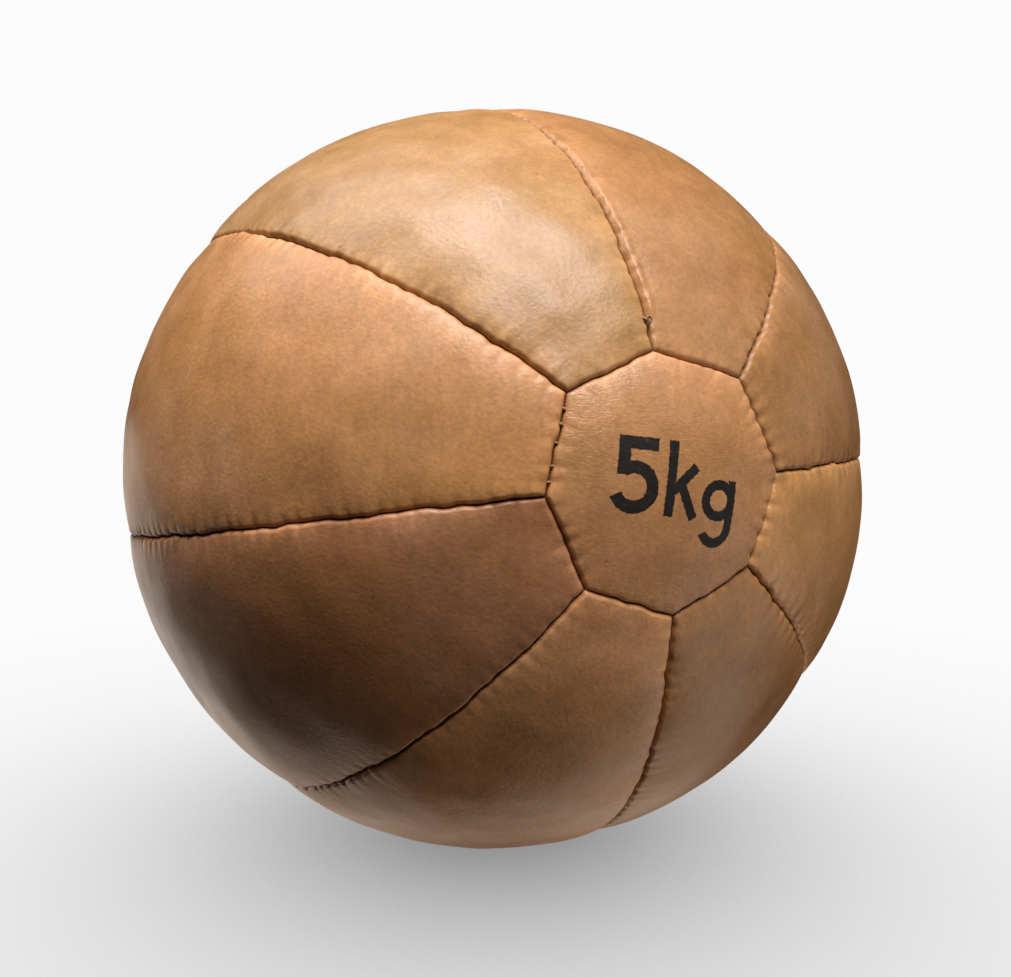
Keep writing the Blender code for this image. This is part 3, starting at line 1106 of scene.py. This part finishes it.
def fibre_material():
    """Shredded textile fibre, packed hard."""
    paint = Paint("core_fibre")
    long = paint.place(scale=(1, 1.6, 3.5))
    strands = paint.noise(long, 230, detail=5, roughness=0.7, distortion=3.5)
    clumps = paint.noise(paint.place(), 45, detail=3, distortion=1.5)
    shreds = paint.cells(paint.place(scale=(1, 1, 2.2)), 130, output="Color")
    colour = paint.blend(strands, (0.3, 0.7), (0.36, 0.30, 0.22), (0.66, 0.60, 0.49))
    colour = paint.mix(0.35, colour, shreds, "SOFT_LIGHT")
    colour = paint.mix(paint.remap(clumps, 0.45, 0.7, 0.0, 0.5), colour, rgba((0.34, 0.37, 0.40)))
    normal = paint.bump(clumps, 1.2 * MM, strength=0.7)
    normal = paint.bump(strands, 0.6 * MM, normal, strength=0.9)
    return paint.finish(colour, paint.remap(strands, 0.3, 0.7, 0.85, 1.0), normal)


# The leather panels


# The panels' leather colours: partly their own differing tones, partly painted light and shade, as each
# was set to match that panel's brightness under these lamps. The shaded lower-left gore is darker, the
# bottom and right-hand gores are lighter, and the caps' tone was raised in the same way.
GORE_TONES_AND_PAINTED_LIGHT = (
    (0.540, 0.262, 0.102),
    (0.510, 0.252, 0.104),
    (0.705, 0.352, 0.132),
    (0.585, 0.282, 0.106),
    (0.705, 0.338, 0.139),
    (0.465, 0.206, 0.088),
    (0.670, 0.318, 0.124),
    (0.550, 0.288, 0.110),
)
CAP_TONE_AND_PAINTED_LIGHT = (0.660, 0.322, 0.138)


def sheet_shape(rng, swell, broad_height):
    """A panel's form: what the packing's push makes of it, and broad unevenness."""
    broad = ripples(rng, BROAD_WAVES)

    def shape(polar, longitude, edges):
        points = directions(polar, longitude) * BALL_RADIUS
        return swell(polar, longitude, edges) + broad_height * broad(points)

    return shape


def panel_relief(seed, small_height, puckers, ridged=False):
    """The leather's own relief: small unevenness, and what its stitches do to its edges."""
    small = ripples(np.random.default_rng(seed), SMALL_WAVES)

    def relief(polar, longitude, edges):
        rng = np.random.default_rng(seed + 1)
        height = small_height * small(directions(polar, longitude) * BALL_RADIUS)
        for number, (seam, away, along) in enumerate(edges):
            pull, pucker = puckers[number]
            height += seam_relief(rng, seam, away, along, pull, pucker)
        if ridged:
            height += rolled_ridge(rng, *edges[0][1:])
        return height

    return relief


# How hard the stitches pull, and how much the leather puckers: at each gore seam, at each side of the
# marked cap, and round the plain one
GORE_SEAM_PUCKERS = (
    *((0.8, 0.4), (1.3, 0.8), (1.5, 1.2), (1.2, 0.5)),
    *((0.8, 0.25), (0.6, 0.25), (1.1, 0.35), (1.1, 0.25)),
)
CAP_SIDE_PUCKERS = (
    *((0.6, 0.4), (1.4, 0.3), (1.4, 1.0), (0.5, 0.3)),
    *((0.5, 0.3), (1.0, 0.3), (0.9, 0.3), (0.7, 0.5)),
)
PLAIN_PUCKERS = (1.0, 0.8)
GORE_UNEVENNESS = (0.07 * MM,) * 7 + (0.15 * MM,)  # the top gore's is the greatest
CAP_UNEVENNESS = 0.05 * MM
GORE_BROAD_HEIGHT = 0.2 * MM
CAP_BROAD_HEIGHT = 0.15 * MM


def add_leather():
    rng = np.random.default_rng(RANDOM_SEED + 1)
    swells = stuffed_swells()
    shapes = []
    for gore in range(GORES):
        node = f"gore_{gore + 1}"
        shape = sheet_shape(rng, gore_swell(gore, swells[gore]), GORE_BROAD_HEIGHT)
        seams = (GORE_SEAM_PUCKERS[gore], GORE_SEAM_PUCKERS[(gore + 1) % GORES])
        puckers = (*seams, CAP_SIDE_PUCKERS[gore], PLAIN_PUCKERS)
        seed = RANDOM_SEED + 10 * gore
        relief = panel_relief(seed, GORE_UNEVENNESS[gore], puckers, ridged=gore == 0)
        name = f"{node}_leather"
        material = leather_material(name, GORE_TONES_AND_PAINTED_LIGHT[gore], gore)
        item = add_panel(name, gore_panel(gore), shape, relief, material)
        dress(item, node)
        shapes.append(shape)
    for number, (node, side) in enumerate((("cap_front", MARKED), ("cap_back", PLAIN))):
        shape = sheet_shape(rng, cap_swell(side, swells[GORES + number]), CAP_BROAD_HEIGHT)
        puckers = CAP_SIDE_PUCKERS if side == MARKED else (PLAIN_PUCKERS,) * GORES
        relief = panel_relief(RANDOM_SEED + 100 + number, CAP_UNEVENNESS, puckers)
        name = f"{node}_leather"
        marked = side == MARKED
        material = leather_material(name, CAP_TONE_AND_PAINTED_LIGHT, 10 + number, marked)
        item = add_panel(name, cap_panel(side), shape, relief, material, flipped=marked)
        dress(item, node)
        shapes.append(shape)
    return shapes


def dress(item, node):
    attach(item, "root")
    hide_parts(node)


# The linings, threads and packing


def add_lining(node, places, faces, loop, shape, edges_of, material, flipped=False):
    """A canvas panel that lies under the leather, as one thin closed solid."""
    polar, longitude = places
    form = shape(polar, longitude, edges_of(polar, longitude))
    layers = []
    for depth in (LEATHER + LINING_DROP, LEATHER + LINING_DROP + LINING):
        layer = directions(polar, longitude) * (BALL_RADIUS - depth + form)[:, None]
        layers.append(settle(layer, depth))
    count = len(polar)
    blocks = [*faces, *flip([block + count for block in faces])]
    blocks.append(strip_quads(loop, loop + count))
    if flipped:
        blocks = flip(blocks)
    item = add_mesh(f"{node}_canvas", np.concatenate(layers), blocks, material)
    set_attribute(item, "weave", "FLOAT_VECTOR", np.tile(lay_flat(polar, longitude), (2, 1)))
    dress(item, node)


def lay_flat(polar, longitude):
    """Places in metres across and along a panel, for the weave."""
    across = BALL_RADIUS * np.sin(polar) * (longitude - longitude.mean())
    return np.stack((across, BALL_RADIUS * polar, np.zeros(len(polar))), axis=1)


def add_linings(shapes):
    material = canvas_material()
    v, u = np.mgrid[0 : LINING_ROWS + 1, 0 : LINING_COLUMNS + 1]
    index = np.arange(u.size).reshape(u.shape)
    loop = grid_border(index)
    inset = np.full(u.size, LINING_MARGIN)
    for gore in range(GORES):
        places = gore_place(gore, u.ravel() / LINING_COLUMNS, v.ravel() / LINING_ROWS, inset)
        edges_of = partial(gore_edges, gore)
        node = f"lining_gore_{gore + 1}"
        add_lining(node, places, [grid_quads(index)], loop, shapes[gore], edges_of, material)
    reach, turn, faces, loop = disc(LINING_RINGS, LINING_TURNS)
    inset = np.full(reach.size, LINING_MARGIN)
    for number, (side, word) in enumerate(((MARKED, "front"), (PLAIN, "back"))):
        places = cap_place(side, reach, turn, inset)
        edges_of = partial(cap_edges, side)
        shape = shapes[GORES + number]
        node = f"lining_cap_{word}"
        add_lining(node, places, faces, loop, shape, edges_of, material, flipped=side == MARKED)


def smooth_path(points, steps, closed=False):
    """A curve through points, with some steps between each two."""
    points = np.asarray(points)
    if closed:
        points = np.concatenate((points[-1:], points, points[:2]))
    else:
        points = np.concatenate((points[:1], points, points[-1:]))
    t = (np.arange(steps) / steps)[None, :, None]
    neighbours = (points[:-3], points[1:-2], points[2:-1], points[3:])
    before, start, end, after = (each[:, None, :] for each in neighbours)
    curve = 0.5 * (
        2 * start
        + (end - before) * t
        + (2 * before - 5 * start + 4 * end - after) * t**2
        + (3 * start - before - 3 * end + after) * t**3
    )
    curve = curve.reshape(-1, 3)
    return curve if closed else np.concatenate((curve, points[-1:]))


def twisted_tube(path, radius, closed=False, sides=8, lay=2.4 * MM, plies=2):
    """A thread of twisted plies along a path: its vertices and faces."""
    if closed:
        ahead = np.roll(path, -1, axis=0) - np.roll(path, 1, axis=0)
    else:
        ahead = np.gradient(path, axis=0)
    ahead /= np.linalg.norm(ahead, axis=1)[:, None]
    out = path / np.linalg.norm(path, axis=1)[:, None]
    out -= (out * ahead).sum(axis=1)[:, None] * ahead
    out /= np.linalg.norm(out, axis=1)[:, None]
    aside = np.cross(ahead, out)
    travelled = np.concatenate(((0.0,), np.cumsum(np.linalg.norm(np.diff(path, axis=0), axis=1))))
    turn = np.arange(sides) * math.tau / sides
    swell = 1 + PLY_SWELL * np.cos(plies * (turn[None, :] - math.tau * travelled[:, None] / lay))
    ring = radius * swell[:, :, None]
    vertices = path[:, None, :] + ring * (
        np.cos(turn)[None, :, None] * out[:, None, :] + np.sin(turn)[None, :, None] * aside[:, None, :]
    )
    index = np.arange(len(path) * sides).reshape(len(path), sides)
    following = np.roll(index, -1, axis=0) if closed else index[1:]
    quads = np.concatenate([strip_quads(b, a) for a, b in zip(index, following)])
    faces = [quads] if closed else [quads, index[:1, :], index[-1:, ::-1]]
    return vertices.reshape(-1, 3), faces


CROSSING = (
    # mm to the side, mm deep and share of the slant; the middle point's depth is the seam's own
    (-2.9, 3.6, -0.5),
    (-1.3, 2.5, -0.2),
    (0, None, 0),
    (1.3, 2.5, 0.2),
    (2.9, 3.6, 0.5),
)


def lace(seam, place, depth):
    """A thread's points: across the seam at each stitch, and behind a turned-in edge to the next."""
    points = []
    side = 1
    stray = seam.waver(seam.stitches)
    for number, along in enumerate(seam.stitches):
        slant = MM * math.sin(3.7 * number)
        for away, down, shift in CROSSING:
            down = depth if down is None else down * MM
            aside = side * away * MM + stray[number]
            points.append(place(along + shift * slant, aside, BALL_RADIUS - FALL - down))
        if number + 1 < len(seam.stitches):
            middle = between(along, seam.stitches[number + 1], 0.5)
            aside = side * BEHIND_AWAY + stray[number]
            points.append(place(middle, aside, BALL_RADIUS - BEHIND_DEPTH))
        side = -side
    return points


def gore_seam_place(seam):
    start = corner_polar(seam, MARKED)

    def place(along, away, radius):
        polar = start + along / BALL_RADIUS
        return radius * directions(polar, beside_seam(seam, polar, away))

    return place


def cap_seam_place(gore, side):
    seam = CAP_SEAMS[side, gore]

    def place(along, away, radius):
        longitude = FIRST_SEAM + (gore + along / seam.length) * math.tau / GORES
        return radius * directions(cap_edge_polar(gore, longitude, away, side), longitude)

    return place


def add_threads():
    material = thread_material()
    for number, seam in enumerate(GORE_SEAMS):
        path = smooth_path(lace(seam, gore_seam_place(number), STITCH_DEPTH), THREAD_STEPS)
        vertices, faces = twisted_tube(path, THREAD_RADIUS)
        item = add_mesh(f"seam_stitches_{number + 1}", vertices, faces, material)
        dress(item, f"seam_thread_{number + 1}")
    for side, word in ((MARKED, "front"), (PLAIN, "back")):
        points = []
        for gore in range(GORES):
            seam = CAP_SEAMS[side, gore]
            depth = OPEN_STITCH_DEPTH if seam.gape == OPEN_GAPE else STITCH_DEPTH
            points += lace(seam, cap_seam_place(gore, side), depth)
        path = smooth_path(points, THREAD_STEPS, closed=True)
        vertices, faces = twisted_tube(path, THREAD_RADIUS, closed=True)
        item = add_mesh(f"cap_stitches_{word}", vertices, faces, material)
        dress(item, f"cap_thread_{word}")


def add_knot():
    """A small overhand knot with two cut ends, pressed into the closing seam."""
    turn = np.linspace(0, math.tau, 90, endpoint=False)
    loops = np.stack(
        (
            np.sin(turn) + 2 * np.sin(2 * turn),
            np.cos(turn) - 2 * np.cos(2 * turn),
            -np.sin(3 * turn),
        ),
        axis=1,
    )
    out = directions(KNOT_POLAR, seam_longitude(0, KNOT_POLAR))
    along = np.cross(out, (0.0, -1.0, 0.0))
    along /= np.linalg.norm(along)
    axes = np.stack((along, np.cross(out, along), out))
    middle = out * (BALL_RADIUS - KNOT_DEPTH)
    path = middle + KNOT_SIZE * loops @ axes
    vertices, faces = twisted_tube(path, KNOT_THREAD, closed=True)
    blocks = list(faces)
    parts = [vertices]
    for side in (-1, 1):
        away = side * TAIL_REACH[0] * axes[0] + TAIL_REACH[1] * axes[1]
        end = [middle + step * away - step**2 * TAIL_DROP * out for step in (0, 1, 1.8)]
        tail, tail_faces = twisted_tube(smooth_path(end, 6), TAIL_THREAD)
        blocks += [block + sum(len(part) for part in parts) for block in tail_faces]
        parts.append(tail)
    item = add_mesh("closing_seam_knot", np.concatenate(parts), blocks, thread_material())
    dress(item, "closing_knot")


def turned_skin(radius, start, end, rings, unevenness, rng):
    """A lumpy round skin from a pole to another polar angle: its places, faces and rim."""
    reach, turn, faces, rim = disc(rings, PACKING_TURNS)
    unit = directions(between(start, end, reach), turn)
    lumps = ripples(rng, LUMP_WAVES)
    fuzz = ripples(rng, FUZZ_WAVES)
    height = unevenness * (0.7 * lumps(unit * radius) + 0.3 * fuzz(unit * radius))
    return unit * (radius + height)[:, None], faces, rim


def join_skins(outer, inner):
    """One closed solid of two skins whose rims are joined."""
    count = len(outer[0])
    faces = [*outer[1], *flip([block + count for block in inner[1]])]
    faces.append(strip_quads(outer[2], inner[2] + count))
    return np.concatenate((outer[0], inner[0])), faces


def add_packing():
    """The two felt cups and the core."""
    felt = felt_material()
    outer = BALL_RADIUS - SEAM_DEPTH - CLEARANCE
    inner = outer - WRAP_THICKNESS
    for number, (side, word) in enumerate(((MARKED, "front"), (PLAIN, "back"))):
        rng = np.random.default_rng(RANDOM_SEED + 200 + number)
        pole = 0.0 if side == MARKED else math.pi
        skins = []
        for radius, unevenness in ((outer - WRAP_INSET, WRAP_LUMPS), (inner, WRAP_LINING_LUMPS)):
            skins.append(turned_skin(radius, pole, math.pi / 2, WRAP_RINGS, unevenness, rng))
        vertices, faces = join_skins(*skins)
        if side == MARKED:
            faces = flip(faces)
        item = add_mesh(f"wrap_{word}_felt", vertices - (0, side * WRAP_GAP / 2, 0), faces, felt)
        dress(item, f"wrap_{word}")

    rng = np.random.default_rng(RANDOM_SEED + 300)
    radius = inner - CLEARANCE - CORE_INSET
    end = 0.999 * math.pi
    vertices, faces, rim = turned_skin(radius, 0.0, end, CORE_RINGS, CORE_LUMPS, rng)
    faces = flip([*faces, rim[None, ::-1]])
    item = add_mesh("fibre_core_packed", vertices, faces, fibre_material())
    dress(item, "fibre_core")


# The studio


CAMERA_AZIMUTH = math.radians(-20.0)
CAMERA_ELEVATION = math.radians(0.8)
CAMERA_DISTANCE = 0.364
CAMERA_SENSOR = 36  # in mm, as the lens is
CAMERA_LENS = 31.7
CAMERA_SHIFT = (0.0126, -0.0111)
LAMP_DISTANCE = 1.0
BACKDROP = 0.97  # how bright the background looks
FILL_LIGHT = 0.01
FLOOR_RADIUS = 3.0
FLOOR_DROP = 0.05 * MM  # keeps the floor's face and the ball's flat from sharing a plane
SHADOW_REACH = 0.45
SHADOW_TONE = 0.25


def camera_axes():
    """The camera's right, up and back."""
    back = Vector(
        (
            math.sin(CAMERA_AZIMUTH) * math.cos(CAMERA_ELEVATION),
            -math.cos(CAMERA_AZIMUTH) * math.cos(CAMERA_ELEVATION),
            math.sin(CAMERA_ELEVATION),
        )
    )
    right = Vector((0, 0, 1)).cross(back).normalized()
    return right, back.cross(right), back


def add_camera():
    data = bpy.data.cameras.new("camera")
    data.sensor_width = CAMERA_SENSOR
    data.lens = CAMERA_LENS
    data.shift_x, data.shift_y = CAMERA_SHIFT
    camera = add_object("camera", data)
    back = camera_axes()[2]
    camera.location = back * CAMERA_DISTANCE
    camera.rotation_euler = back.to_track_quat("Z", "Y").to_euler()
    bpy.context.scene.camera = camera


def add_softbox(name, towards, size, power, colour):
    """An area light that faces the ball, in a direction given along the camera's right, up and back."""
    right, up, back = camera_axes()
    data = bpy.data.lights.new(name, "AREA")
    data.shape = "RECTANGLE"
    data.size = size[0]
    data.size_y = size[1]
    data.energy = power
    data.color = colour
    lamp = add_object(name, data)
    place = (right * towards[0] + up * towards[1] + back * towards[2]).normalized()
    lamp.location = place * LAMP_DISTANCE
    lamp.rotation_euler = place.to_track_quat("Z", "Y").to_euler()
    lamp.visible_camera = False


SOFTBOXES = {
    # name: direction along the camera's right, up and back, size, watts, colour
    "key_left": ((-0.5, 0.84, 0.15), (0.6, 0.6), 3.9, (1.0, 1.0, 1.0)),
    "key_front": ((0.17, 0.77, 0.60), (0.55, 0.45), 8.5, (1.0, 1.0, 1.0)),
    "key_spot": ((-0.12, 0.93, 0.32), (0.2, 0.2), 3.0, (1.0, 1.0, 1.0)),
    "rim": ((-0.72, -0.25, -0.65), (0.7, 0.7), 1.9, (1.0, 0.86, 0.74)),
    "bounce_right": ((0.8, -0.5, 0.2), (0.7, 0.7), 1.5, (1.0, 0.91, 0.80)),
    "bounce_back": ((0.36, -0.86, -0.28), (0.9, 0.7), 1.8, (1.0, 0.80, 0.62)),
    "bounce_left": ((-0.4, -0.75, -0.5), (0.7, 0.7), 1.3, (1.0, 0.80, 0.64)),
}


def add_lights():
    for name, settings in SOFTBOXES.items():
        add_softbox(name, *settings)


def add_world():
    """A white background that gives the ball hardly any light."""
    world = bpy.data.worlds.new("studio")
    world.use_nodes = True
    nodes = world.node_tree.nodes
    links = world.node_tree.links
    seen = nodes["Background"]
    seen.inputs["Color"].default_value = (1, 1, 1, 1)
    seen.inputs["Strength"].default_value = BACKDROP
    dim = nodes.new("ShaderNodeBackground")
    dim.inputs["Color"].default_value = (1.0, 0.97, 0.93, 1)
    dim.inputs["Strength"].default_value = FILL_LIGHT
    path = nodes.new("ShaderNodeLightPath")
    mix = nodes.new("ShaderNodeMixShader")
    links.new(path.outputs["Is Camera Ray"], mix.inputs[0])
    links.new(dim.outputs[0], mix.inputs[1])
    links.new(seen.outputs[0], mix.inputs[2])
    links.new(mix.outputs[0], nodes["World Output"].inputs["Surface"])
    bpy.context.scene.world = world


def add_floor():
    """A round pale floor, as bright as the background, with the ball's soft shadow."""
    count = 96
    turn = np.arange(count) * math.tau / count
    rim = FLOOR_RADIUS * np.stack((np.cos(turn), np.sin(turn), np.zeros(count)), axis=1)
    rings = np.linspace(0.02, 1, 24)
    vertices = np.concatenate([ring * rim for ring in rings])
    vertices[:, 2] = FLOOR - FLOOR_DROP
    index = np.arange(len(vertices)).reshape(len(rings), count)
    faces = [strips(index), index[:1]]
    paint = Paint("pale_floor")
    near = paint.add("ShaderNodeAmbientOcclusion", {"Distance": SHADOW_REACH}, samples=16)
    shadow = paint.remap(near.outputs["AO"], 0.0, 1.0, SHADOW_TONE, BACKDROP)
    tone_and_painted_light = paint.add("ShaderNodeCombineColor", {0: shadow, 1: shadow, 2: shadow})
    glow = paint.add("ShaderNodeEmission", {"Color": tone_and_painted_light.outputs[0]})
    paint.tree.links.new(glow.outputs[0], paint.tree.nodes["Material Output"].inputs["Surface"])
    floor = add_mesh("floor", vertices, faces, paint.material)
    floor.visible_diffuse = False
    floor.visible_glossy = False
    floor.visible_shadow = False
    floor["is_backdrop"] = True


add_camera()
add_world()
add_floor()
shapes = add_leather()
add_linings(shapes)
add_threads()
add_knot()
add_packing()
add_lights()
bpy.context.scene.view_settings.view_transform = "Standard"

boxes = {"cad": CAD_BOX, "visual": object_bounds()}
{key: [list(corner) for corner in box] for key, box in boxes.items()}
